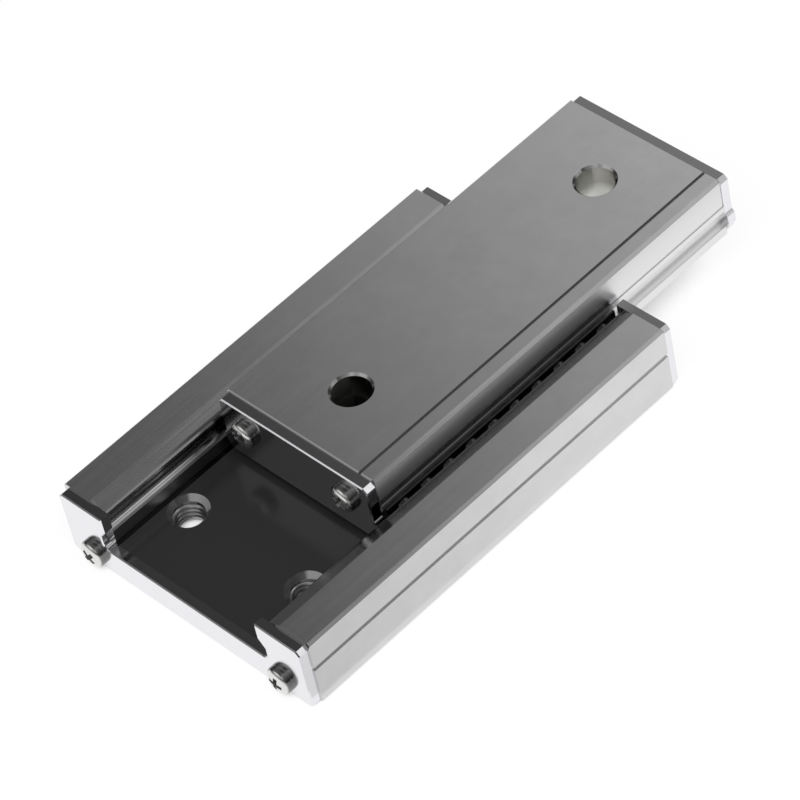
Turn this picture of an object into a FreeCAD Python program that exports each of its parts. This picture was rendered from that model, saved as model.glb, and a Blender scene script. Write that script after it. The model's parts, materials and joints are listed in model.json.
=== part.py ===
"""Miniature linear slide: a ground U bed, a table that runs in it on two rows of
caged balls, and thin screwed end plates on both.

Millimetres. X is the direction of travel, Y across the bed, Z up. The origin is the
middle of the bed's underside. The table is stored drawn out towards +X.
"""
import FreeCAD, Part
import math
import os
import Sketcher

# Driving dimensions, each written once
SIZES = {
    # bed: the U rail that is screwed down
    "bed_width": 40.0,
    "bed_length": 58.0,
    "bed_height": 9.8,
    "bed_floor": 4.0,
    "bed_chamfer": 0.35,
    "arm_bevel_width": 2.15,
    "arm_bevel_drop": 0.85,
    "lip_chamfer": 0.2,
    "corner_relief": 0.3,
    "bed_scribe_height": 5.65,
    "bed_scribe_width": 0.55,
    "bed_scribe_depth": 0.25,
    # table: the block that carries the load
    "table_width": 24.0,
    "table_short_of_bed": 0.05,
    "table_top": 13.6,
    "table_floor_gap": 1.0,
    "table_chamfer": 0.4,
    "table_scribe_inset": 2.3,
    "table_scribe_width": 0.4,
    "table_scribe_depth": 0.3,
    "land_above_balls": 2.05,
    "land_height": 0.12,
    # gaps between bed and table, on each side
    "wall_gap": 0.7,
    "lip_gap": 1.25,
    # ball rows
    "ball_diameter": 2.4,
    "ball_count": 10,
    "ball_height": 7.4,
    "ball_gap": 0.45,
    "race_clearance": 0.05,
    # cages that hold the balls apart
    "cage_thickness": 0.3,
    "cage_inset": 0.32,
    "cage_end_gap": 0.1,
    "cage_end_land": 2.42,
    "cage_rim": 0.2,
    # end plates
    "bed_plate_thickness": 1.3,
    "bed_plate_inset": 0.25,
    "bed_plate_drop": 0.45,
    "bed_plate_foot": 0.1,
    "table_plate_thickness": 1.4,
    "table_plate_drop": 0.3,
    "plate_chamfer": 0.55,
    "edge_break": 0.15,
    "lip_overhang_gap": 0.55,
    "window_undercut": 0.95,
    "undercut_below_balls": 0.4,
    "undercut_slope": 1.15,
    "window_corner_radius": 0.9,
    "ear_reach": 0.42,
    "ear_below_balls": 1.75,
    "ear_height": 2.35,
    "ear_rounding": 0.8,
    # mounting holes
    "hole_spacing_long": 41.0,
    "bed_hole_spacing_across": 19.4,
    "bed_hole_diameter": 4.0,
    "bed_countersink_diameter": 5.3,
    "table_hole_diameter": 4.8,
    "table_countersink_diameter": 5.4,
    # plate screws
    "screw_diameter": 2.0,
    "screw_length": 5.0,
    "screw_clearance": 0.1,
    "tapping_clearance": 0.03,
    "tapping_extra_depth": 1.0,
    "head_diameter": 3.8,
    "head_height": 1.3,
    "head_chamfer": 0.45,
    "recess_span": 2.1,
    "recess_width": 0.5,
    "recess_depth": 0.7,
    "bed_screw_inset": 4.6,
    "bed_screw_height": 2.2,
    "table_screw_inset": 3.9,
    "table_screw_height": 9.9,
    # travel each way from the middle, and how far the table is drawn out here
    "travel": 20.0,
    "table_drawn_out": 19.3,
}

TOLERANCE = 1e-5

doc = FreeCAD.newDocument("LinearSlide")
sheet = doc.addObject("Spreadsheet::Sheet", "Sizes")
for row, (alias, value) in enumerate(SIZES.items(), start=1):
    cell = "B%d" % row
    sheet.set("A%d" % row, alias)
    sheet.set(cell, str(value))
    sheet.setAlias(cell, alias)
doc.recompute()

# Places that several pieces share, as expressions of the sheet
HALF_BED = "Sizes.bed_width / 2"
HALF_TABLE = "Sizes.table_width / 2"
HALF_LAND = "(%s + Sizes.land_height)" % HALF_TABLE
LAND_TOP = "(Sizes.ball_height + Sizes.land_above_balls)"
TABLE_LENGTH = "(Sizes.bed_length - Sizes.table_short_of_bed)"
CAGE_LENGTH = "(%s - Sizes.travel - 2 * Sizes.cage_end_gap)" % TABLE_LENGTH
ROW_LENGTH = "(%s - 2 * Sizes.cage_end_land)" % CAGE_LENGTH
BED_SCREW_SPACING = "(Sizes.bed_width - 2 * Sizes.bed_screw_inset)"
TABLE_SCREW_SPACING = "(Sizes.table_width - 2 * Sizes.table_screw_inset)"
WALL = "(%s + Sizes.wall_gap)" % HALF_TABLE
LIP = "(%s + Sizes.lip_gap)" % HALF_TABLE
BALL_ROW = "(%s + Sizes.ball_gap)" % HALF_TABLE
CAGE_ROW = "(%s + Sizes.cage_inset + Sizes.cage_thickness / 2)" % HALF_TABLE
RACE_RADIUS = "(Sizes.ball_diameter / 2 + Sizes.race_clearance)"
CAGE_TOP = "(Sizes.ball_height + %s + Sizes.cage_rim)" % RACE_RADIUS
CAGE_BOTTOM = "(Sizes.ball_height - %s - Sizes.cage_rim)" % RACE_RADIUS
TABLE_BOTTOM = "(Sizes.bed_floor + Sizes.table_floor_gap)"
PLATE_LIP = "(%s + Sizes.lip_overhang_gap)" % HALF_TABLE
PLATE_UNDERCUT = "(%s + Sizes.window_undercut)" % PLATE_LIP
UNDERCUT_TOP = "(Sizes.ball_height - Sizes.undercut_below_balls)"
UNDERCUT_SHOULDER = "(%s - Sizes.undercut_slope)" % UNDERCUT_TOP
BED_PLATE_TOP = "(Sizes.bed_height - Sizes.bed_plate_drop)"
BED_PLATE_SIDE = "(%s - Sizes.bed_plate_inset)" % HALF_BED
TABLE_PLATE_TOP = "(Sizes.table_top - Sizes.table_plate_drop)"
EAR = "(%s + Sizes.ear_reach)" % HALF_TABLE
EAR_BOTTOM = "(Sizes.ball_height - Sizes.ear_below_balls)"
TAPPING_RADIUS = "Sizes.screw_diameter / 2 + Sizes.tapping_clearance"
PLATE_HOLE_RADIUS = "Sizes.screw_diameter / 2 + Sizes.screw_clearance"
TAPPING_DEPTH = "Sizes.screw_length + Sizes.tapping_extra_depth"
CAGE_DRAWN_OUT = "Sizes.table_drawn_out / 2"


def new_body(label):
    """An empty body whose label is the name of the node."""
    body = doc.addObject("PartDesign::Body", label)
    body.Label = label
    return body


def origin_feature(body, role):
    """One of the body's own origin planes or axes."""
    return next(item for item in body.Origin.OriginFeatures if item.Role == role)


def new_sketch(body, name, plane, offset=None):
    """A sketch on a plane of the body, moved along its normal by an expression."""
    sketch = body.newObject("Sketcher::SketchObject", name)
    sketch.AttachmentSupport = (origin_feature(body, plane), [""])
    sketch.MapMode = "FlatFace"
    if offset:
        sketch.setExpression(".AttachmentOffset.Base.z", offset)
    return sketch


def bind_coordinate(sketch, kind, geometry, point, start, expression):
    """Hold one coordinate of a point at the value of an expression."""
    if expression == "0":
        axis = -2 if kind == "DistanceX" else -1
        sketch.addConstraint(Sketcher.Constraint("PointOnObject", geometry, point, axis))
        return
    number = sketch.addConstraint(
        Sketcher.Constraint(kind, -1, 1, geometry, point, start))
    sketch.setExpression("Constraints[%d]" % number, expression)


def draw_outline(sketch, corners):
    """A closed outline of straight lines through corners given as expressions."""
    count = len(corners)
    turns = [2 * math.pi * (index + 0.25) / count for index in range(count)]
    starts = [FreeCAD.Vector(10 * math.cos(turn), 10 * math.sin(turn), 0) for turn in turns]
    lines = [
        sketch.addGeometry(Part.LineSegment(starts[index], starts[(index + 1) % count]))
        for index in range(count)]
    for index, line in enumerate(lines):
        following = lines[(index + 1) % count]
        sketch.addConstraint(Sketcher.Constraint("Coincident", line, 2, following, 1))
    for line, start, (across, up) in zip(lines, starts, corners):
        bind_coordinate(sketch, "DistanceX", line, 1, start.x, across)
        bind_coordinate(sketch, "DistanceY", line, 1, start.y, up)


def draw_circle(sketch, across, up, radius):
    """A circle whose centre and radius are expressions."""
    start = FreeCAD.Vector(5, 5, 0)
    circle = sketch.addGeometry(Part.Circle(start, FreeCAD.Vector(0, 0, 1), 1.0))
    bind_coordinate(sketch, "DistanceX", circle, 3, start.x, across)
    bind_coordinate(sketch, "DistanceY", circle, 3, start.y, up)
    number = sketch.addConstraint(Sketcher.Constraint("Radius", circle, 1.0))
    sketch.setExpression("Constraints[%d]" % number, radius)


def mirrored_outline(corners):
    """The corners of a symmetrical outline from those of its positive side."""
    other_side = [("-(%s)" % across, up) for across, up in reversed(corners)]
    return corners + other_side


def pad(body, sketch, length, midplane=False, reversed_way=False):
    feature = body.newObject("PartDesign::Pad", sketch.Name + "Pad")
    feature.Profile = sketch
    feature.setExpression("Length", length)
    feature.Midplane = midplane
    feature.Reversed = reversed_way
    return feature


def pocket(body, sketch, length, midplane=False, reversed_way=False):
    """A cut that has to take something away."""
    doc.recompute()
    before = body.Shape.Volume
    feature = body.newObject("PartDesign::Pocket", sketch.Name + "Pocket")
    feature.Profile = sketch
    feature.setExpression("Length", length)
    feature.Midplane = midplane
    feature.Reversed = reversed_way
    doc.recompute()
    if body.Shape.Volume > before - TOLERANCE:
        raise ValueError("nothing was cut by " + feature.Name)
    return feature


def mirror(body, features, plane):
    """Repeat features on the other side of one of the body's planes."""
    feature = body.newObject("PartDesign::Mirrored", features[0].Name + "Mirrored")
    feature.Originals = features
    feature.MirrorPlane = (origin_feature(body, plane), [""])
    body.Tip = feature
    return feature


def number_of(name):
    return float(sheet.get(name))


def edges_where(shape, wanted):
    return ["Edge%d" % (index + 1) for index, edge in enumerate(shape.Edges) if wanted(edge)]


def is_circle_at(edge, radius, height):
    """True for a level circle of this radius at this height."""
    curve = edge.Curve
    return (isinstance(curve, Part.Circle) and abs(curve.Radius - radius) < TOLERANCE
            and abs(curve.Center.z - height) < TOLERANCE)


def runs_along_x_at(edge, across, up):
    """True for an edge along X at this distance from the middle plane and height."""
    box = edge.BoundBox
    side = min(abs(abs(box.YMin) - across), abs(abs(box.YMax) - across))
    is_along_x = box.XLength > TOLERANCE and box.YLength + box.ZLength < TOLERANCE
    return is_along_x and side < TOLERANCE and abs(box.ZMin - up) < TOLERANCE


def break_edges(body, names):
    """A fine chamfer along edges of the body's last feature."""
    base = body.Tip
    feature = body.newObject("PartDesign::Chamfer", base.Name + "Break")
    feature.Base = (base, names)
    feature.setExpression("Size", "Sizes.edge_break")
    return feature


def break_end_edges(body, lowest):
    """Break the outline of both ends of a prism along X above a height."""
    doc.recompute()
    shape = body.Tip.Shape
    end = shape.BoundBox.XMax
    names = edges_where(
        shape, lambda edge: abs(abs(edge.CenterOfMass.x) - end) < TOLERANCE
        and edge.BoundBox.ZMin > lowest - TOLERANCE)
    return break_edges(body, names)


def break_face_edges(body, at_start):
    """Break the outline of a plate's outward face, and leave its holes sharp."""
    doc.recompute()
    shape = body.Tip.Shape
    box = shape.BoundBox
    level = box.XMin if at_start else box.XMax
    names = edges_where(
        shape, lambda edge: edge.BoundBox.XLength < TOLERANCE
        and abs(edge.BoundBox.XMin - level) < TOLERANCE and not edge.isClosed())
    return break_edges(body, names)


def countersink(body, radius, heights, size):
    """A chamfer round the mouths of the upright holes of one radius."""
    doc.recompute()
    base = body.Tip
    names = edges_where(
        base.Shape, lambda edge: any(is_circle_at(edge, radius, height) for height in heights))
    feature = body.newObject("PartDesign::Chamfer", "Countersinks")
    feature.Base = (base, names)
    feature.setExpression("Size", size)
    return feature


def scribe_line(body, across, up):
    """The square corners of a scribed line, deepened towards the middle of the body."""
    sketch = new_sketch(body, "Scribe", "YZ_Plane")
    draw_outline(sketch, [
        (across[0], up[0]), (across[1], up[0]), (across[1], up[1]), (across[0], up[1])])
    return sketch


def bed_outline():
    """Half of the bed's section, from the underside over the arm to the floor."""
    bevel = "%s + Sizes.arm_bevel_width" % LIP
    lip_top = "Sizes.bed_height - Sizes.arm_bevel_drop"
    return [
        ("%s - Sizes.bed_chamfer" % HALF_BED, "0"),
        (HALF_BED, "Sizes.bed_chamfer"),
        (HALF_BED, "Sizes.bed_height - Sizes.bed_chamfer"),
        ("%s - Sizes.bed_chamfer" % HALF_BED, "Sizes.bed_height"),
        (bevel, "Sizes.bed_height"),
        (LIP + " + Sizes.lip_chamfer", lip_top),
        (LIP, lip_top + " - Sizes.lip_chamfer"),
        (LIP, "Sizes.ball_height"),
        (WALL, "Sizes.ball_height"),
        (WALL, "Sizes.bed_floor + Sizes.corner_relief"),
        ("%s - Sizes.corner_relief" % WALL, "Sizes.bed_floor"),
    ]


def cut_raceways(body, length):
    """The round grooves that the balls run in, one on each side."""
    sketch = new_sketch(body, "Raceway", "YZ_Plane")
    draw_circle(sketch, BALL_ROW, "Sizes.ball_height", RACE_RADIUS)
    groove = pocket(body, sketch, length + " * 2", midplane=True)
    mirror(body, [groove], "XZ_Plane")


def cut_end_screw_holes(body, end, spacing, height):
    """Tapped holes for the plate screws in both ends of a body."""
    sketch = new_sketch(body, "EndHoles", "YZ_Plane", "-(%s)" % end)
    for side in ("", "-"):
        draw_circle(sketch, "%s%s / 2" % (side, spacing), height, TAPPING_RADIUS)
    holes = pocket(body, sketch, TAPPING_DEPTH, reversed_way=True)
    mirror(body, [holes], "YZ_Plane")


def make_bed():
    body = new_body("bed")
    section = new_sketch(body, "BedSection", "YZ_Plane")
    draw_outline(section, mirrored_outline(bed_outline()))
    pad(body, section, "Sizes.bed_length", midplane=True)
    break_end_edges(body, number_of("ball_height"))
    cut_raceways(body, "Sizes.bed_length")
    half_line = "Sizes.bed_scribe_width / 2"
    line = scribe_line(
        body,
        ("-(%s) - 1" % HALF_BED, "-(%s) + Sizes.bed_scribe_depth" % HALF_BED),
        ("Sizes.bed_scribe_height - " + half_line, "Sizes.bed_scribe_height + " + half_line))
    pocket(body, line, "Sizes.bed_length * 2", midplane=True)
    holes = new_sketch(body, "TappedHoles", "XY_Plane")
    for along in ("", "-"):
        for across in ("", "-"):
            draw_circle(holes, along + "Sizes.hole_spacing_long / 2",
                        across + "Sizes.bed_hole_spacing_across / 2",
                        "Sizes.bed_hole_diameter / 2")
    pocket(body, holes, "Sizes.bed_height * 2", midplane=True)
    countersink(
        body, number_of("bed_hole_diameter") / 2, (0.0, number_of("bed_floor")),
        "(Sizes.bed_countersink_diameter - Sizes.bed_hole_diameter) / 2")
    cut_end_screw_holes(
        body, "Sizes.bed_length / 2", BED_SCREW_SPACING, "Sizes.bed_screw_height")
    return body


def make_table():
    body = new_body("table")
    section = new_sketch(body, "TableSection", "YZ_Plane")
    side = [
        (HALF_LAND, TABLE_BOTTOM),
        (HALF_LAND, LAND_TOP + " - Sizes.land_height"),
        (HALF_TABLE, LAND_TOP),
        (HALF_TABLE, "Sizes.table_top - Sizes.table_chamfer"),
        ("%s - Sizes.table_chamfer" % HALF_TABLE, "Sizes.table_top"),
    ]
    draw_outline(section, mirrored_outline(side))
    pad(body, section, TABLE_LENGTH, midplane=True)
    break_end_edges(body, number_of("bed_floor") + number_of("table_floor_gap"))
    cut_raceways(body, TABLE_LENGTH)
    line_middle = "%s - Sizes.table_scribe_inset" % HALF_TABLE
    line = scribe_line(
        body,
        ("-(%s) - Sizes.table_scribe_width / 2" % line_middle,
         "-(%s) + Sizes.table_scribe_width / 2" % line_middle),
        ("Sizes.table_top - Sizes.table_scribe_depth", "Sizes.table_top + 1"))
    pocket(body, line, TABLE_LENGTH + " * 2", midplane=True)
    holes = new_sketch(body, "ThroughHoles", "XY_Plane")
    for along in ("", "-"):
        draw_circle(holes, along + "Sizes.hole_spacing_long / 2", "0",
                    "Sizes.table_hole_diameter / 2")
    pocket(body, holes, "Sizes.table_top * 3", midplane=True)
    bottom = number_of("bed_floor") + number_of("table_floor_gap")
    countersink(
        body, number_of("table_hole_diameter") / 2, (bottom, number_of("table_top")),
        "(Sizes.table_countersink_diameter - Sizes.table_hole_diameter) / 2")
    cut_end_screw_holes(
        body, TABLE_LENGTH + " / 2", TABLE_SCREW_SPACING, "Sizes.table_screw_height")
    body.setExpression(".Placement.Base.x", "Sizes.table_drawn_out")
    return body


def add_screw_holes(sketch, spacing, height):
    for side in ("", "-"):
        draw_circle(sketch, "%s%s / 2" % (side, spacing), height, PLATE_HOLE_RADIUS)


def make_bed_plate(label, start):
    """A plate with the bed's outline and a window that the table passes through."""
    body = new_body(label)
    sketch = new_sketch(body, label + "_outline", "YZ_Plane")
    half = [
        ("%s - Sizes.bed_chamfer" % BED_PLATE_SIDE, "Sizes.bed_plate_foot"),
        (BED_PLATE_SIDE, "Sizes.bed_plate_foot + Sizes.bed_chamfer"),
        (BED_PLATE_SIDE, "%s - Sizes.plate_chamfer" % BED_PLATE_TOP),
        ("%s - Sizes.plate_chamfer" % BED_PLATE_SIDE, BED_PLATE_TOP),
        (PLATE_LIP, BED_PLATE_TOP),
        (PLATE_LIP, UNDERCUT_TOP),
        (PLATE_UNDERCUT, UNDERCUT_SHOULDER),
        (PLATE_UNDERCUT, "Sizes.bed_floor"),
    ]
    draw_outline(sketch, mirrored_outline(half))
    add_screw_holes(sketch, BED_SCREW_SPACING, "Sizes.bed_screw_height")
    plate = pad(body, sketch, "Sizes.bed_plate_thickness")
    doc.recompute()
    across = sum(number_of(name) for name in ("lip_overhang_gap", "window_undercut"))
    across += number_of("table_width") / 2
    corners = edges_where(
        plate.Shape, lambda edge: runs_along_x_at(edge, across, number_of("bed_floor")))
    rounding = body.newObject("PartDesign::Fillet", label + "_corners")
    rounding.Base = (plate, corners)
    rounding.setExpression("Radius", "Sizes.window_corner_radius")
    break_face_edges(body, "front" in label)
    body.setExpression(".Placement.Base.x", start)
    return body


def make_table_plate(label, start):
    """A plate that closes the table's end, with ears that stop the cages."""
    body = new_body(label)
    sketch = new_sketch(body, label + "_outline", "YZ_Plane")
    ear_top = EAR_BOTTOM + " + Sizes.ear_height"
    half = [
        ("%s - Sizes.bed_chamfer" % HALF_TABLE, TABLE_BOTTOM),
        (HALF_TABLE, "%s + Sizes.bed_chamfer" % TABLE_BOTTOM),
        (HALF_TABLE, EAR_BOTTOM),
        (EAR, EAR_BOTTOM + " + Sizes.ear_reach"),
        (EAR, ear_top + " - Sizes.ear_reach"),
        (HALF_TABLE, ear_top),
        (HALF_TABLE, "%s - Sizes.plate_chamfer" % TABLE_PLATE_TOP),
        ("%s - Sizes.plate_chamfer" % HALF_TABLE, TABLE_PLATE_TOP),
    ]
    draw_outline(sketch, mirrored_outline(half))
    add_screw_holes(sketch, TABLE_SCREW_SPACING, "Sizes.table_screw_height")
    plate = pad(body, sketch, "Sizes.table_plate_thickness")
    doc.recompute()
    across = number_of("table_width") / 2 + number_of("ear_reach")
    low = number_of("ball_height") - number_of("ear_below_balls") + number_of("ear_reach")
    high = low + number_of("ear_height") - 2 * number_of("ear_reach")
    corners = edges_where(
        plate.Shape, lambda edge: runs_along_x_at(edge, across, low)
        or runs_along_x_at(edge, across, high))
    rounding = body.newObject("PartDesign::Fillet", label + "_ears")
    rounding.Base = (plate, corners)
    rounding.setExpression("Radius", "Sizes.ear_rounding")
    break_face_edges(body, "front" in label)
    body.setExpression(".Placement.Base.x", start)
    return body


def make_screw(label, face, across, height, points_back):
    """A pan head screw along X, with its head's seat at the given face."""
    body = new_body(label)
    profile = new_sketch(body, label + "_profile", "XY_Plane")
    draw_outline(profile, [
        ("-Sizes.head_height", "0"),
        ("-Sizes.head_height", "Sizes.head_diameter / 2 - Sizes.head_chamfer"),
        ("-Sizes.head_height + Sizes.head_chamfer", "Sizes.head_diameter / 2"),
        ("0", "Sizes.head_diameter / 2"),
        ("0", "Sizes.screw_diameter / 2"),
        ("Sizes.screw_length", "Sizes.screw_diameter / 2"),
        ("Sizes.screw_length", "0"),
    ])
    turned = body.newObject("PartDesign::Revolution", label + "_turned")
    turned.Profile = profile
    turned.ReferenceAxis = (profile, ["H_Axis"])
    turned.Angle = 360.0
    recess = new_sketch(body, label + "_recess", "YZ_Plane", "-Sizes.head_height")
    arm, slot = "Sizes.recess_span / 2", "Sizes.recess_width / 2"
    draw_outline(recess, [
        (arm, "-" + slot), (arm, slot), (slot, slot), (slot, arm), ("-" + slot, arm),
        ("-" + slot, slot), ("-" + arm, slot), ("-" + arm, "-" + slot),
        ("-" + slot, "-" + slot), ("-" + slot, "-" + arm), (slot, "-" + arm),
        (slot, "-" + slot)])
    pocket(body, recess, "Sizes.recess_depth", reversed_way=True)
    if points_back:
        body.Placement = FreeCAD.Placement(
            FreeCAD.Vector(), FreeCAD.Rotation(FreeCAD.Vector(0, 0, 1), 180))
    body.setExpression(".Placement.Base.x", face)
    body.setExpression(".Placement.Base.y", across)
    body.setExpression(".Placement.Base.z", height)
    return body


def make_plate_screws(owner, half_length, thickness, middle, spacing, height):
    """Two screws in each of the end plates of the bed or the table."""
    screws = []
    for end, sign in (("front", "-"), ("rear", "")):
        face = "%s%s(%s + %s)" % (middle, sign or "+", half_length, thickness)
        for side, across in (("left", ""), ("right", "-")):
            screws.append(make_screw(
                "%s_screw_%s_%s" % (owner, end, side), face,
                "%s%s / 2" % (across, spacing), height, end == "rear"))
    return screws


def make_cage(label, side):
    """A thin strip with a round pocket for each ball."""
    body = new_body(label)
    strip = new_sketch(body, label + "_strip", "XZ_Plane")
    end = CAGE_LENGTH + " / 2"
    draw_outline(strip, [
        ("-" + end, CAGE_BOTTOM), (end, CAGE_BOTTOM), (end, CAGE_TOP), ("-" + end, CAGE_TOP)])
    pad(body, strip, "Sizes.cage_thickness", midplane=True)
    first = new_sketch(body, label + "_pocket", "XZ_Plane")
    draw_circle(first, "-%s / 2" % ROW_LENGTH, "Sizes.ball_height", RACE_RADIUS)
    cut = pocket(body, first, "Sizes.cage_thickness * 2", midplane=True)
    row_of_pockets = body.newObject("PartDesign::LinearPattern", label + "_row")
    row_of_pockets.Originals = [cut]
    row_of_pockets.Direction = (origin_feature(body, "X_Axis"), [""])
    row_of_pockets.setExpression("Length", ROW_LENGTH)
    row_of_pockets.setExpression("Occurrences", "Sizes.ball_count")
    body.Tip = row_of_pockets
    body.setExpression(".Placement.Base.x", CAGE_DRAWN_OUT)
    body.setExpression(".Placement.Base.y", "%s%s" % (side, CAGE_ROW))
    return body


def make_balls(row, side):
    """The balls of one row, each held in its pocket of the cage."""
    balls = []
    for number in range(int(number_of("ball_count"))):
        label = "ball_%s_%02d" % (row, number + 1)
        ball = doc.addObject("Part::Sphere", label)
        ball.Label = label
        ball.setExpression("Radius", "Sizes.ball_diameter / 2")
        ball.setExpression(
            ".Placement.Base.x", "%s + (%d / (Sizes.ball_count - 1) - 0.5) * %s"
            % (CAGE_DRAWN_OUT, number, ROW_LENGTH))
        ball.setExpression(".Placement.Base.y", "%s%s" % (side, BALL_ROW))
        ball.setExpression(".Placement.Base.z", "Sizes.ball_height")
        balls.append(ball)
    return balls


def make_parts():
    half_bed, half_table = "Sizes.bed_length / 2", TABLE_LENGTH + " / 2"
    drawn_out = "Sizes.table_drawn_out "
    parts = [make_bed(), make_table()]
    parts.append(make_bed_plate(
        "bed_front_plate", "-(%s + Sizes.bed_plate_thickness)" % half_bed))
    parts.append(make_bed_plate("bed_rear_plate", half_bed))
    parts.append(make_table_plate(
        "table_front_plate", "%s- (%s + Sizes.table_plate_thickness)" % (drawn_out, half_table)))
    parts.append(make_table_plate("table_rear_plate", "%s+ %s" % (drawn_out, half_table)))
    parts += make_plate_screws(
        "bed", half_bed, "Sizes.bed_plate_thickness", "", BED_SCREW_SPACING,
        "Sizes.bed_screw_height")
    parts += make_plate_screws(
        "table", half_table, "Sizes.table_plate_thickness", drawn_out,
        TABLE_SCREW_SPACING, "Sizes.table_screw_height")
    for row, side in (("left", ""), ("right", "-")):
        parts.append(make_cage("ball_cage_" + row, side))
        parts += make_balls(row, side)
    return parts


def check_and_export(parts):
    """Refuse anything that failed, then write one file for each sub-part."""
    for item in doc.Objects:
        if "Invalid" in item.State or "Error" in item.State:
            raise ValueError("failed: " + item.Name)
    for part in parts:
        if part.Shape.isNull() or not part.Shape.isValid():
            raise ValueError("bad shape: " + part.Label)
    os.makedirs("parts", exist_ok=True)
    for part in parts:
        part.Shape.exportStep("parts/%s.step" % part.Label)


all_parts = make_parts()
doc.recompute()
check_and_export(all_parts)
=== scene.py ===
"""Looks of the miniature linear slide: materials, threads, screws, light and camera."""

import json
import math

import bmesh
import bpy
from mathutils import Euler, Matrix, Vector


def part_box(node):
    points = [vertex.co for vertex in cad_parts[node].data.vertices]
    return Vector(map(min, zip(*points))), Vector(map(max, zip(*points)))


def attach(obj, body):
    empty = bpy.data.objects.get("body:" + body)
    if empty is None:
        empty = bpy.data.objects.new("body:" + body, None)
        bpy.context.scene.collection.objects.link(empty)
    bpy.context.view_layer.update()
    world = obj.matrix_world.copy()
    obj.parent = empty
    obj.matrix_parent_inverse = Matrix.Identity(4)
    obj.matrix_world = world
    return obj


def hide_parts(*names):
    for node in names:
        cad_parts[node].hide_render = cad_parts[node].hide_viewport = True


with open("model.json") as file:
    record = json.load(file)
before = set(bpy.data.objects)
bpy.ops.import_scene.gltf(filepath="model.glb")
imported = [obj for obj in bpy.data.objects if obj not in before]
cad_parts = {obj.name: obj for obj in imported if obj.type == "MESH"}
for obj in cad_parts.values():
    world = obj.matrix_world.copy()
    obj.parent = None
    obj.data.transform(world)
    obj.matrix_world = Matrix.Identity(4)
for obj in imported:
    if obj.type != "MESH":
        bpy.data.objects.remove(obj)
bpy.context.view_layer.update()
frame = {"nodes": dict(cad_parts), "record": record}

MM = 0.001
mounts = {mount["name"]: mount for mount in frame["record"]["mounts"]}

# sizes of the solids in millimetres

TABLE_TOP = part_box("table")[1][2] / MM
TABLE_SIDE = 12.0
GUIDE_TOP = 9.3
GUIDE_SIDE = 10.3
EAR_TOP = 12.45
ARM_EDGE = 8.7
RACEWAY_SIDES = (12.6, 14.6)
RACEWAY_TOP = 9.1
WALL_SIDE = 12.9
WALL_TOP = 6.2
CHANNEL_FLOOR = 4.0
FOOT_START = 12.34
SCRIBE_INSET = 2.3
SCRIBE_HALF_WIDTH = 0.22
TAPPED_HOLES = ((-20.5, 9.7), (-20.5, -9.7), (20.5, 9.7), (20.5, -9.7))
HEAD_HEIGHT = 1.3

# reach of the masks round the holes' axes

TAPPED_REACH = 2.8
COUNTERSINK_REACH = 2.75
BORE_REACH = 2.55

# grain of the metal along each axis

BRUSHED = (60.0, 2500.0, 2500.0)
FINE = (1500.0, 1500.0, 1500.0)
CLOUDS = (260.0, 260.0, 260.0)
BUMP_DEPTH = 0.00001

# threads, with the ridge as shares of its depth and of the pitch

THREAD_ROOT = 1.99
THREAD_CREST = 1.58
THREAD_PITCH = 0.7
THREAD_BOTTOM = 0.36
THREAD_TOP = 3.1
RIDGE = ((0.0, -0.44), (1.0, -0.07), (1.0, 0.07), (0.0, 0.44))

# screws, as heights and radii, and as heights, arms and half widths of the cross

SHANK_PROFILE = ((-4.9, 0.0), (-4.9, 0.7), (-4.6, 0.86), (0.0, 0.86))
HEAD_PROFILE = (
    (0.0, 1.78), (0.02, 1.8), (0.42, 1.8), (0.62, 1.76), (0.8, 1.66),
    (0.95, 1.5), (1.07, 1.29), (1.16, 1.02), (1.22, 0.68), (1.26, 0.34), (1.28, 0.0))
CROSS = ((1.7, 1.3, 0.36), (0.6, 0.62, 0.19), (0.42, 0.24, 0.15))
RECESS_FLOOR = 0.38
RECESS_REACH = 1.3
SCREW_TURNS = {"front_left": 28, "front_right": 62, "rear_left": 10, "rear_right": 75}
BED_EXTRA_TURN = 17

# soft boxes by direction, each the product of ramps: axis, start, end, value at start, value at end

OVERHEAD = (("X", 0.37, 0.57, 0.015, 0.78),)
BEHIND = (("X", 0.2, -0.05, 0.0, 0.3),)
STRIP = (("Y", -0.2, -0.36, 0.0, 1.0, True), ("Y", -0.45, -0.7, 1.0, 0.0),
         ("X", 0.45, 0.466, 0.4, 0.6))
BUMP = (("Y", 0.0, -0.16, 0.0, 0.4), ("Y", -0.24, -0.38, 1.0, 0.1), ("X", 0.456, 0.468, 0.0, 1.0))
LOW = (("X", 0.44, 0.455, 0.0, 0.6), ("Y", -0.5, -0.7, 0.0, 1.0), ("Z", 0.5, 0.4, 0.0, 1.0))
WINDOW = (("X", -0.42, -0.62, 0.0, 0.7, True), ("Y", -0.15, 0.15, 0.3, 1.0),
          ("Z", 0.34, 0.39, 0.2, 1.0), ("Z", 0.8, 0.95, 1.0, 0.0))
CORNER = (("X", 0.26, 0.34, 0.0, 1.0), ("X", 0.39, 0.47, 1.0, 0.0), ("Y", -0.7, -0.64, 1.0, 0.0),
          ("Z", 0.45, 0.53, 0.0, 1.0), ("Z", 0.58, 0.66, 1.0, 0.0))
ROOM = 0.085


# camera

def make_camera():
    data = bpy.data.cameras.new("camera")
    data.sensor_width = 36.0
    data.lens = 196.65
    data.clip_start = 0.01
    data.clip_end = 20.0
    camera = bpy.data.objects.new("camera", data)
    camera.location = Vector((-199.136, -280.862, 368.403)) * MM
    camera.rotation_euler = Euler([math.radians(a) for a in (43.0351, 9.0864, -45.6252)], "XYZ")
    bpy.context.scene.collection.objects.link(camera)
    bpy.context.scene.camera = camera


# node helpers

def new_material(name):
    material = bpy.data.materials.new(name)
    material.use_nodes = True
    tree = material.node_tree
    return material, tree, tree.nodes["Principled BSDF"]


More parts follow.
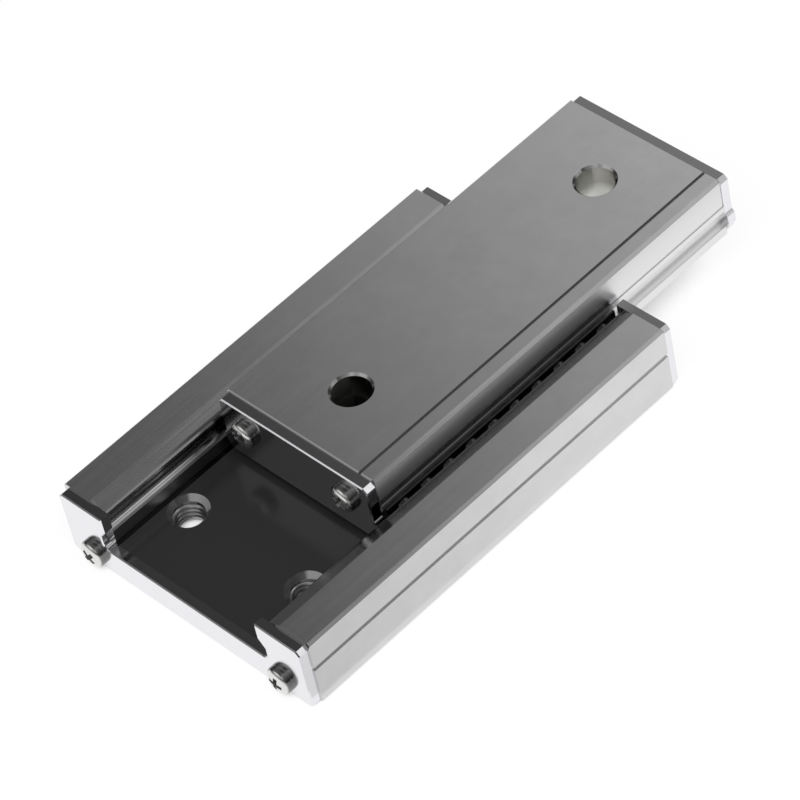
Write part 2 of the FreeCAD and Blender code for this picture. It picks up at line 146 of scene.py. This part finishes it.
def add(tree, kind, **values):
    node = tree.nodes.new(kind)
    for key, value in values.items():
        setattr(node, key, value)
    return node


def connect(tree, value, socket):
    """Links a socket, or writes a plain number or colour."""
    if isinstance(value, bpy.types.NodeSocket):
        tree.links.new(value, socket)
    else:
        socket.default_value = value


def calculate(tree, operation, a, b=0.0):
    node = add(tree, "ShaderNodeMath", operation=operation)
    connect(tree, a, node.inputs[0])
    connect(tree, b, node.inputs[1])
    return node.outputs[0]


def product(tree, *parts):
    total = parts[0]
    for part in parts[1:]:
        total = calculate(tree, "MULTIPLY", total, part)
    return total


def ramp(tree, value, start, end, low=0.0, high=1.0, smooth=False):
    """A value that goes from low at start to high at end and stays there."""
    node = add(tree, "ShaderNodeMapRange")
    if smooth:
        node.interpolation_type = "SMOOTHSTEP"
    connect(tree, value, node.inputs["Value"])
    node.inputs["From Min"].default_value = start
    node.inputs["From Max"].default_value = end
    node.inputs["To Min"].default_value = low
    node.inputs["To Max"].default_value = high
    return node.outputs["Result"]


def between(tree, value, low, high, edge=0.04):
    """1 where a value lies between two limits, 0 elsewhere."""
    above = ramp(tree, value, low - edge, low + edge)
    below = ramp(tree, value, high - edge, high + edge, 1.0, 0.0)
    return product(tree, above, below)


def position(tree, scale):
    """Object coordinates times a scale along each axis."""
    coordinates = add(tree, "ShaderNodeTexCoord")
    mapping = add(tree, "ShaderNodeMapping")
    mapping.inputs["Scale"].default_value = scale
    tree.links.new(coordinates.outputs["Object"], mapping.inputs["Vector"])
    return mapping.outputs["Vector"]


def place(tree, axis):
    """X, Y or Z of a point of the object in millimetres."""
    axes = tree.nodes.get("place")
    if axes is None:
        axes = add(tree, "ShaderNodeSeparateXYZ", name="place")
        tree.links.new(position(tree, [1 / MM] * 3), axes.inputs[0])
    return axes.outputs[axis]


def facing(tree, axis):
    """How much a face looks along an axis."""
    axes = tree.nodes.get("facing")
    if axes is None:
        axes = add(tree, "ShaderNodeSeparateXYZ", name="facing")
        geometry = add(tree, "ShaderNodeNewGeometry")
        tree.links.new(geometry.outputs["Normal"], axes.inputs[0])
    return axes.outputs[axis]


def away(tree, socket):
    """The size of a value, to whichever side of zero it lies."""
    return calculate(tree, "ABSOLUTE", socket)


def noise(tree, vector, detail, roughness):
    node = add(tree, "ShaderNodeTexNoise")
    node.inputs["Scale"].default_value = 1.0
    node.inputs["Detail"].default_value = detail
    node.inputs["Roughness"].default_value = roughness
    tree.links.new(vector, node.inputs["Vector"])
    return node.outputs["Fac"]


def blend_colours(tree, factor, a, b):
    node = add(tree, "ShaderNodeMix", data_type="RGBA")
    connect(tree, factor, node.inputs["Factor"])
    connect(tree, a, node.inputs["A"])
    connect(tree, b, node.inputs["B"])
    return node.outputs["Result"]


def opaque(colour):
    """A colour from a grey or from red, green and blue."""
    parts = [colour] * 3 if isinstance(colour, float) else colour
    return (*parts, 1.0)


# masks of the bed

def near_holes(tree, name, radius):
    """1 within a radius of the holes of a bolt pattern."""
    mount = mounts[name]
    squares = []
    for axis, middle, pitch in zip("XY", mount["pos_m"], ("spacing_x_mm", "spacing_y_mm")):
        distance = calculate(tree, "SUBTRACT", place(tree, axis), middle / MM)
        distance = calculate(tree, "SUBTRACT", away(tree, distance), mount["dims"].get(pitch, 0.0) / 2)
        squares.append(product(tree, distance, distance))
    return ramp(tree, calculate(tree, "ADD", *squares), (radius - 0.05) ** 2, radius ** 2, 1.0, 0.0)


def hole_shade_mask(tree):
    """1 in the bed's tapped holes, which are painted dark as shade."""
    return product(tree, near_holes(tree, "bed_holes", TAPPED_REACH),
                   between(tree, place(tree, "Z"), 0.1, CHANNEL_FLOOR - 0.06))


def channel_shade_mask(tree):
    """1 on the floor of the channel and in the bed's tapped holes, painted near black as shade."""
    floor = product(tree, between(tree, place(tree, "Y"), -FOOT_START, FOOT_START),
                    between(tree, place(tree, "Z"), CHANNEL_FLOOR - 0.8, CHANNEL_FLOOR + 0.38))
    return calculate(tree, "MAXIMUM", floor, hole_shade_mask(tree))


def foot_shade_mask(tree):
    """1 on the relief along the foot of the channel's walls, painted near black as shade."""
    return product(tree, between(tree, away(tree, place(tree, "Y")), FOOT_START - 0.04, FOOT_START + 0.48),
                   between(tree, place(tree, "Z"), CHANNEL_FLOOR - 0.1, CHANNEL_FLOOR + 0.4))


def wall_shade_mask(tree):
    """1 on those walls, between the floor and the raceways, painted darker as shade."""
    return product(tree, ramp(tree, away(tree, facing(tree, "Y")), 0.93, 0.97),
                   between(tree, place(tree, "Z"), CHANNEL_FLOOR, WALL_TOP),
                   ramp(tree, away(tree, place(tree, "Y")), WALL_SIDE - 0.05, WALL_SIDE + 0.05, 1.0, 0.0))


def race_shade_mask(tree):
    """1 in the raceways of the bed, fading towards the front end, for painted shade under the table."""
    return product(tree, between(tree, away(tree, place(tree, "Y")), *RACEWAY_SIDES),
                   between(tree, place(tree, "Z"), CHANNEL_FLOOR, RACEWAY_TOP),
                   ramp(tree, away(tree, facing(tree, "X")), 0.1, 0.3, 1.0, 0.0),
                   ramp(tree, place(tree, "X"), -21.0, -15.0))


def bevel_shade_mask(tree):
    """1 on the bevel along the right arm, fading towards the front end, for painted shade under the table.
    """
    return product(tree, between(tree, facing(tree, "Y"), 0.28, 0.5),
                   ramp(tree, place(tree, "Z"), ARM_EDGE - 0.1, ARM_EDGE + 0.1),
                   ramp(tree, place(tree, "X"), -20.0, -8.0, 0.1, 1.0))


def upright_edge_shade_mask(tree):
    """1 on the broken upright edges along the end plates, painted dark as the shade between plate and body.
    """
    return product(tree, ramp(tree, away(tree, facing(tree, "X")), 0.35, 0.45),
                   ramp(tree, away(tree, facing(tree, "Y")), 0.35, 0.45),
                   ramp(tree, away(tree, facing(tree, "Z")), 0.2, 0.3, 1.0, 0.0))


# masks of bed and table

def end_edge_shade_mask(tree):
    """1 on the broken edges round the front end, painted darker as shade."""
    return product(tree, ramp(tree, facing(tree, "X"), -0.55, -0.45, 1.0, 0.0),
                   ramp(tree, facing(tree, "X"), -0.95, -0.9))


def edge_shade_mask(tree):
    """1 on the broken upper edges along the right side, fading towards the far end, painted darker as shade.
    """
    return product(tree, between(tree, facing(tree, "Y"), -0.85, -0.5),
                   between(tree, facing(tree, "Z"), 0.5, 0.85),
                   ramp(tree, place(tree, "Z"), ARM_EDGE - 0.1, ARM_EDGE + 0.1),
                   ramp(tree, place(tree, "X"), -15.0, 40.0, 1.0, 0.0))


# masks of the table

def side_mask(tree):
    """1 on faces that look sideways."""
    return ramp(tree, away(tree, facing(tree, "Y")), 0.76, 0.82)


def upper_side_mask(tree):
    """1 near the top of the table's sides, fading downwards."""
    return product(tree, side_mask(tree), ramp(tree, place(tree, "Z"), 9.8, 13.0, 0.5, 1.0))


def flank_mask(tree):
    """1 on the table's sides below the ledge of the guide land."""
    return product(tree, ramp(tree, place(tree, "Z"), GUIDE_TOP - 0.05, GUIDE_TOP + 0.05, 1.0, 0.0),
                   ramp(tree, away(tree, place(tree, "Y")), GUIDE_SIDE - 0.1, GUIDE_SIDE + 0.1))


def ledge_shade_mask(tree):
    """1 on that ledge, up to where the table leaves the bed, painted dark as shade beside the bed."""
    return product(tree, between(tree, place(tree, "Z"), GUIDE_TOP - 0.1, GUIDE_TOP + 0.5),
                   ramp(tree, facing(tree, "Z"), 0.2, 0.4),
                   ramp(tree, place(tree, "X"), 28.0, 31.0, 1.0, 0.0))


def scribe_mask(tree):
    """1 in the line scribed along the table's top."""
    line = SCRIBE_INSET - TABLE_SIDE
    return product(tree, between(tree, place(tree, "Y"), line - SCRIBE_HALF_WIDTH, line + SCRIBE_HALF_WIDTH),
                   ramp(tree, place(tree, "Z"), TABLE_TOP - 0.03, TABLE_TOP - 0.01, 1.0, 0.0))


def bore_mask(tree):
    """1 on the walls of the table's two holes, painted darker as shade."""
    return product(tree, near_holes(tree, "table_holes", COUNTERSINK_REACH),
                   ramp(tree, place(tree, "Z"), TABLE_TOP - 0.04, TABLE_TOP - 0.01, 1.0, 0.0))


def deep_bore_shade_mask(tree):
    """1 on those walls below the countersink, painted darker as shade."""
    return product(tree, near_holes(tree, "table_holes", BORE_REACH),
                   ramp(tree, place(tree, "Z"), TABLE_TOP - 0.4, TABLE_TOP - 0.3, 1.0, 0.0))


def low_bore_light_mask(tree):
    """1 on the lower half of those walls, painted lighter as the light coming up from the floor."""
    return product(tree, near_holes(tree, "table_holes", BORE_REACH),
                   ramp(tree, place(tree, "Z"), TABLE_TOP - 4.2, TABLE_TOP - 2.6, 1.0, 0.0))


# masks of plates and screws

def top_shade_mask(tree):
    """1 on faces that look straight up, painted darker on the plates as shade."""
    return ramp(tree, facing(tree, "Z"), 0.95, 0.99)


def slant_shade_mask(tree):
    """1 on the broken upper edges of a front face, painted darker as shade."""
    return product(tree, ramp(tree, facing(tree, "Z"), 0.4, 0.5),
                   ramp(tree, facing(tree, "X"), -0.55, -0.45, 1.0, 0.0))


def ear_shade_mask(tree):
    """1 on the sides of a table plate, up to its upper corners, painted darker as shade."""
    return product(tree, ramp(tree, away(tree, facing(tree, "Y")), 0.3, 0.4),
                   ramp(tree, place(tree, "Z"), EAR_TOP - 0.15, EAR_TOP + 0.15, 1.0, 0.0))


def rim_shade_mask(tree):
    """1 on the sides of the screw heads, which look across their axis, painted darker as shade."""
    return ramp(tree, away(tree, facing(tree, "X")), 0.45, 0.72, 1.0, 0.0)


# materials

def steel(name, colour, rough, bump=0.0, mottle=0.03, grain=FINE, masks=(), dull=()):
    """Metal with fine grain and faint clouds, other colours and less gloss where masks say so."""
    material, tree, shader = new_material(name)
    shader.inputs["Metallic"].default_value = 1.0
    fine = noise(tree, position(tree, grain), 4.0, 0.6)
    cloud = noise(tree, position(tree, CLOUDS), 5.0, 0.65)
    darker, lighter = [opaque([min(1.0, part * share) for part in opaque(colour)[:3]])
                       for share in (1 - mottle, 1 + mottle)]
    shade = blend_colours(tree, ramp(tree, cloud, 0.3, 0.7), darker, lighter)
    for mask, other in masks:
        shade = blend_colours(tree, mask(tree), shade, opaque(other))
    tree.links.new(shade, shader.inputs["Base Color"])
    gloss = ramp(tree, fine, 0.3, 0.7, rough * 0.87, rough * 1.15)
    for mask, amount in dull:
        gloss = calculate(tree, "MAXIMUM", gloss, product(tree, mask(tree), amount))
    tree.links.new(gloss, shader.inputs["Roughness"])
    if bump:
        relief = add(tree, "ShaderNodeBump")
        relief.inputs["Strength"].default_value = bump
        relief.inputs["Distance"].default_value = BUMP_DEPTH
        tree.links.new(fine, relief.inputs["Height"])
        tree.links.new(relief.outputs["Normal"], shader.inputs["Normal"])
    return material


def blacken(material, mask):
    """Takes the shine of bare metal away where a mask says so."""
    tree = material.node_tree
    shine = ramp(tree, mask(tree), 0.0, 1.0, 1.0, 0.0)
    tree.links.new(shine, tree.nodes["Principled BSDF"].inputs["Metallic"])


def dress(material, *nodes):
    for name in nodes:
        mesh = frame["nodes"][name].data
        mesh.materials.clear()
        mesh.materials.append(material)


# threads and screws

def new_piece(name, mesh, material, body):
    """A mesh in millimetres as a piece of a body."""
    data = bpy.data.meshes.new(name)
    mesh.to_mesh(data)
    mesh.free()
    data.transform(Matrix.Scale(MM, 4))
    piece = bpy.data.objects.new(name, data)
    bpy.context.scene.collection.objects.link(piece)
    data.materials.append(material)
    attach(piece, body)
    return piece


def shade_smooth(piece, angle=None):
    for polygon in piece.data.polygons:
        polygon.use_smooth = True
    if angle is not None:
        piece.data.set_sharp_from_angle(angle=math.radians(angle))


def thread_ridge(steps=48):
    """The ridge of a thread round the Z axis, which runs out at both ends."""
    mesh = bmesh.new()
    count = int((THREAD_TOP - THREAD_BOTTOM) / THREAD_PITCH * steps)
    previous = None
    for i in range(count + 1):
        angle = 2 * math.pi * i / steps
        z = THREAD_BOTTOM + THREAD_PITCH * i / steps
        run = min(1.0, i / steps * 2, (count - i) / steps * 2)
        ring = []
        for share, rise in RIDGE:
            r = THREAD_ROOT + (THREAD_CREST - THREAD_ROOT) * share * run
            ring.append(mesh.verts.new((r * math.cos(angle), r * math.sin(angle), z + rise * THREAD_PITCH)))
        if previous:
            for j in range(len(RIDGE) - 1):
                mesh.faces.new((previous[j], ring[j], ring[j + 1], previous[j + 1]))
        previous = ring
    return mesh


def make_threads(material):
    for i, (x, y) in enumerate(TAPPED_HOLES):
        mesh = thread_ridge()
        bmesh.ops.translate(mesh, verts=mesh.verts, vec=(x, y, 0.0))
        piece = new_piece("thread_%d" % (i + 1), mesh, material, "bed")
        shade_smooth(piece)


def turned(profile, steps=64):
    """A closed mesh turned round the Z axis from heights and radii."""
    mesh = bmesh.new()
    rings = []
    for height, radius in profile:
        if radius == 0.0:
            rings.append([mesh.verts.new((0.0, 0.0, height))])
            continue
        rings.append([
            mesh.verts.new((radius * math.cos(2 * math.pi * i / steps),
                            radius * math.sin(2 * math.pi * i / steps), height))
            for i in range(steps)])
    for low, high in zip(rings, rings[1:]):
        for i in range(steps):
            j = (i + 1) % steps
            corners = [low[i % len(low)], low[j % len(low)], high[j % len(high)], high[i % len(high)]]
            mesh.faces.new(list(dict.fromkeys(corners)))
    bmesh.ops.recalc_face_normals(mesh, faces=mesh.faces)
    return mesh


def cross_cutter():
    """A cross that narrows and gets shorter with depth, for a recess in a head."""
    mesh = bmesh.new()
    rings = []
    for height, arm, half in CROSS:
        corners = [(arm, -half), (arm, half), (half, half), (half, arm), (-half, arm),
                   (-half, half), (-arm, half), (-arm, -half), (-half, -half), (-half, -arm),
                   (half, -arm), (half, -half)]
        rings.append([mesh.verts.new((x, y, height)) for x, y in corners])
    for high, low in zip(rings, rings[1:]):
        for i in range(len(high)):
            j = (i + 1) % len(high)
            mesh.faces.new((high[i], low[i], low[j], high[j]))
    mesh.faces.new(rings[0])
    mesh.faces.new(list(reversed(rings[-1])))
    bmesh.ops.recalc_face_normals(mesh, faces=mesh.faces)
    return mesh


def head_height(radius):
    """How high the face of a head is at a distance from its axis."""
    for (low, outer), (high, inner) in zip(HEAD_PROFILE[1:], HEAD_PROFILE[2:]):
        if inner <= radius <= outer:
            share = (outer - radius) / (outer - inner) if outer > inner else 0.0
            return low + share * (high - low)
    return 0.0


def link_blank(name, mesh):
    """A helper object that is removed again."""
    data = bpy.data.meshes.new(name)
    mesh.to_mesh(data)
    mesh.free()
    blank = bpy.data.objects.new(name, data)
    bpy.context.scene.collection.objects.link(blank)
    return blank


def screw_data(material, recess_shade):
    """The mesh of a pan head screw along +Z, head up, seat at the origin."""
    blank = link_blank("screw_blank", turned(SHANK_PROFILE + HEAD_PROFILE))
    tool = link_blank("screw_cutter", cross_cutter())
    cut = blank.modifiers.new("recess", "BOOLEAN")
    cut.operation = "DIFFERENCE"
    cut.solver = "EXACT"
    cut.object = tool
    edge = blank.modifiers.new("edge", "BEVEL")
    edge.width = 0.05
    edge.segments = 2
    edge.angle_limit = math.radians(40)
    bpy.context.view_layer.update()
    graph = bpy.context.evaluated_depsgraph_get()
    data = bpy.data.meshes.new_from_object(blank.evaluated_get(graph))
    for thing in (blank, tool):
        bpy.data.objects.remove(thing)
    data.materials.clear()
    data.materials.append(material)
    data.materials.append(recess_shade)
    # faces inside the cross recess get the second material, painted darker as shade
    for polygon in data.polygons:
        x, y, z = polygon.center
        radius = math.hypot(x, y)
        inside = RECESS_FLOOR < z < head_height(radius) - 0.05 and radius < RECESS_REACH
        polygon.material_index = 1 if inside else 0
    data.transform(Matrix.Scale(MM, 4))
    return data


def make_screws(material, recess_shade):
    data = screw_data(material, recess_shade)
    for body, extra in (("bed", BED_EXTRA_TURN), ("table", 0)):
        for corner, turn in SCREW_TURNS.items():
            node = "%s_screw_%s" % (body, corner)
            low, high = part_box(node)
            front = corner.startswith("front")
            seat = low[0] + HEAD_HEIGHT * MM if front else high[0] - HEAD_HEIGHT * MM
            towards = -math.pi / 2 if front else math.pi / 2
            matrix = (Matrix.Translation((seat, (low[1] + high[1]) / 2, (low[2] + high[2]) / 2))
                      @ Matrix.Rotation(towards, 4, "Y")
                      @ Matrix.Rotation(math.radians(turn + extra), 4, "Z"))
            mesh = data.copy()
            mesh.transform(matrix)
            piece = bpy.data.objects.new("screw_%s_%s" % (body, corner), mesh)
            bpy.context.scene.collection.objects.link(piece)
            shade_smooth(piece, 35)
            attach(piece, body)
            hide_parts(node)


# surroundings

def white_rays(tree):
    """1 for the rays that show the surroundings directly, in metal or through glass."""
    path = add(tree, "ShaderNodeLightPath")
    either = calculate(
        tree, "MAXIMUM", path.outputs["Is Camera Ray"], path.outputs["Is Glossy Ray"])
    return calculate(tree, "MAXIMUM", either, path.outputs["Is Transmission Ray"])


def room_light(tree, axes):
    """The light of a dim room with soft boxes, by direction."""
    def soft_box(ramps):
        return product(tree, *[ramp(tree, axes[axis], *limits) for axis, *limits in ramps])

    level = ramp(tree, away(tree, axes["Y"]), 0.28, 0.36, 1.0, 0.0)
    shade = product(tree, level, between(tree, axes["X"], -0.56, -0.24))
    behind = product(tree, soft_box(BEHIND), calculate(tree, "SUBTRACT", 1.0, shade))
    above = soft_box(OVERHEAD)
    for part in (behind, soft_box(STRIP), soft_box(BUMP)):
        above = calculate(tree, "ADD", above, part)
    total = product(tree, above, ramp(tree, axes["Z"], 0.3, 0.6))
    for part in (soft_box(LOW), soft_box(WINDOW), soft_box(CORNER), ROOM):
        total = calculate(tree, "ADD", total, part)
    return total


def make_world():
    world = bpy.data.worlds.new("studio")
    bpy.context.scene.world = world
    world.use_nodes = True
    tree = world.node_tree
    background = tree.nodes["Background"]
    coordinates = add(tree, "ShaderNodeTexCoord")
    axes = add(tree, "ShaderNodeSeparateXYZ")
    tree.links.new(coordinates.outputs["Generated"], axes.inputs[0])
    light = room_light(tree, axes.outputs)
    path = add(tree, "ShaderNodeLightPath")
    shown = add(tree, "ShaderNodeMix", data_type="FLOAT")
    shown.inputs["B"].default_value = 1.0
    tree.links.new(path.outputs["Is Camera Ray"], shown.inputs["Factor"])
    tree.links.new(light, shown.inputs["A"])
    tree.links.new(shown.outputs["Result"], background.inputs["Color"])
    background.inputs["Strength"].default_value = 1.0


def make_floor():
    """A floor that keeps the shadow, and shows white to the eye and in the metal, except for a painted
    shadow: in the metal it glows dimmer on the right of the bed towards the front end.
    """
    mesh = bmesh.new()
    bmesh.ops.create_grid(mesh, x_segments=1, y_segments=1, size=3.0)
    data = bpy.data.meshes.new("floor")
    mesh.to_mesh(data)
    mesh.free()
    floor = bpy.data.objects.new("floor", data)
    floor.location.z = -0.00005
    bpy.context.scene.collection.objects.link(floor)
    material, tree, shader = new_material("floor")
    shader.inputs["Base Color"].default_value = (0.9, 0.9, 0.9, 1.0)
    shader.inputs["Roughness"].default_value = 1.0
    shader.inputs["Specular IOR Level"].default_value = 0.0
    open_air = add(tree, "ShaderNodeAmbientOcclusion")
    open_air.inputs["Distance"].default_value = 0.02
    share = ramp(tree, open_air.outputs["AO"], 0.1, 0.45, 0.3, 0.9)
    path = add(tree, "ShaderNodeLightPath")
    # painted shadow: towards the front end, the floor on the right of the bed glows dimmer in the metal
    shadow_beside_bed = ramp(tree, place(tree, "X"), -28.0, 20.0, 0.76, 1.0)
    clear_of_shadow = ramp(tree, place(tree, "Y"), -21.3, -20.9)
    strength = calculate(tree, "MAXIMUM", calculate(tree, "MAXIMUM", shadow_beside_bed, clear_of_shadow),
                         path.outputs["Is Camera Ray"])
    glow = add(tree, "ShaderNodeEmission")
    tree.links.new(strength, glow.inputs["Strength"])
    mix = add(tree, "ShaderNodeMixShader")
    tree.links.new(product(tree, white_rays(tree), share), mix.inputs["Fac"])
    tree.links.new(shader.outputs["BSDF"], mix.inputs[1])
    tree.links.new(glow.outputs["Emission"], mix.inputs[2])
    tree.links.new(mix.outputs["Shader"], tree.nodes["Material Output"].inputs["Surface"])
    data.materials.append(material)


def make_lamp(name, spot, size, watts):
    data = bpy.data.lights.new(name, "AREA")
    data.shape = "DISK"
    data.size = size
    data.energy = watts
    lamp = bpy.data.objects.new(name, data)
    lamp.location = spot
    lamp.visible_glossy = False
    lamp.rotation_euler = (-Vector(spot)).to_track_quat("-Z", "Y").to_euler()
    bpy.context.scene.collection.objects.link(lamp)


# scene

make_camera()
make_world()
make_floor()
make_lamp("key", (-0.3, -0.35, 0.9), 0.8, 9.0)

BARE = 0.66
PLATE = (0.825, 0.825, 0.855)
# painted shade: the tops of the end plates darker than their faces
plate_top_shade = (top_shade_mask, 0.3)

ground = steel(
    "ground_steel", BARE, 0.17, 0.04, 0.04, BRUSHED,
    masks=[(channel_shade_mask, 0.018), (hole_shade_mask, 0.035), (wall_shade_mask, 0.3), (race_shade_mask, 0.2),
           (foot_shade_mask, 0.008), (edge_shade_mask, 0.28), (bevel_shade_mask, 0.24), (end_edge_shade_mask, 0.2),
           (upright_edge_shade_mask, 0.12)],
    dull=[(wall_shade_mask, 0.35)])
# painted shade: the channel floor and tapped holes are made non-metallic as well as near black
blacken(ground, channel_shade_mask)
# painted light: the table's sides are lighter than its top, and lighter still on the flanks below the ledge
table_ground = steel(
    "table_steel", BARE, 0.17, 0.04, 0.04, BRUSHED,
    masks=[(side_mask, 0.77), (end_edge_shade_mask, 0.36), (flank_mask, 0.83), (edge_shade_mask, 0.2),
           (ledge_shade_mask, 0.09), (scribe_mask, 0.27), (bore_mask, (0.35, 0.34, 0.34)),
           (deep_bore_shade_mask, (0.45, 0.45, 0.42)), (low_bore_light_mask, (0.95, 0.95, 0.91))],
    dull=[(upper_side_mask, 0.48), (flank_mask, 0.42)])
bed_plate = steel("bed_plate_steel", PLATE, 0.13, 0.05, 0.015, masks=[(slant_shade_mask, 0.4), plate_top_shade])
front_plate = steel("front_plate_steel", PLATE, 0.13, 0.05, 0.015, masks=[(ear_shade_mask, 0.25), plate_top_shade])
plate = steel("plate_steel", PLATE, 0.13, 0.05, 0.015, masks=[plate_top_shade])
# painted shade: the sides of the screw heads darker than their faces
screw = steel("screw_steel", (0.76, 0.76, 0.75), 0.2, 0.1, masks=[(rim_shade_mask, (0.2, 0.2, 0.195))])
# painted shade: the cross recesses of the screws darker
recess_shade = steel("recess_steel", (0.18, 0.18, 0.175), 0.4)
thread = steel("thread_steel", 0.33, 0.3)
cage = steel("cage_steel", 0.05, 0.4)
# painted shade: the balls near black, as the shade in the gap between bed and table
ball = steel("ball_steel", 0.06, 0.25)

dress(ground, "bed")
dress(table_ground, "table")
dress(bed_plate, "bed_front_plate", "bed_rear_plate")
dress(front_plate, "table_front_plate")
dress(plate, "table_rear_plate")
dress(screw, *[name for name in frame["nodes"] if "_screw_" in name])
dress(cage, "ball_cage_left", "ball_cage_right")
dress(ball, *[name for name in frame["nodes"] if name.startswith(("ball_left_", "ball_right_"))])
make_threads(thread)
make_screws(screw, recess_shade)

settings = bpy.context.scene.view_settings
settings.view_transform = "Standard"
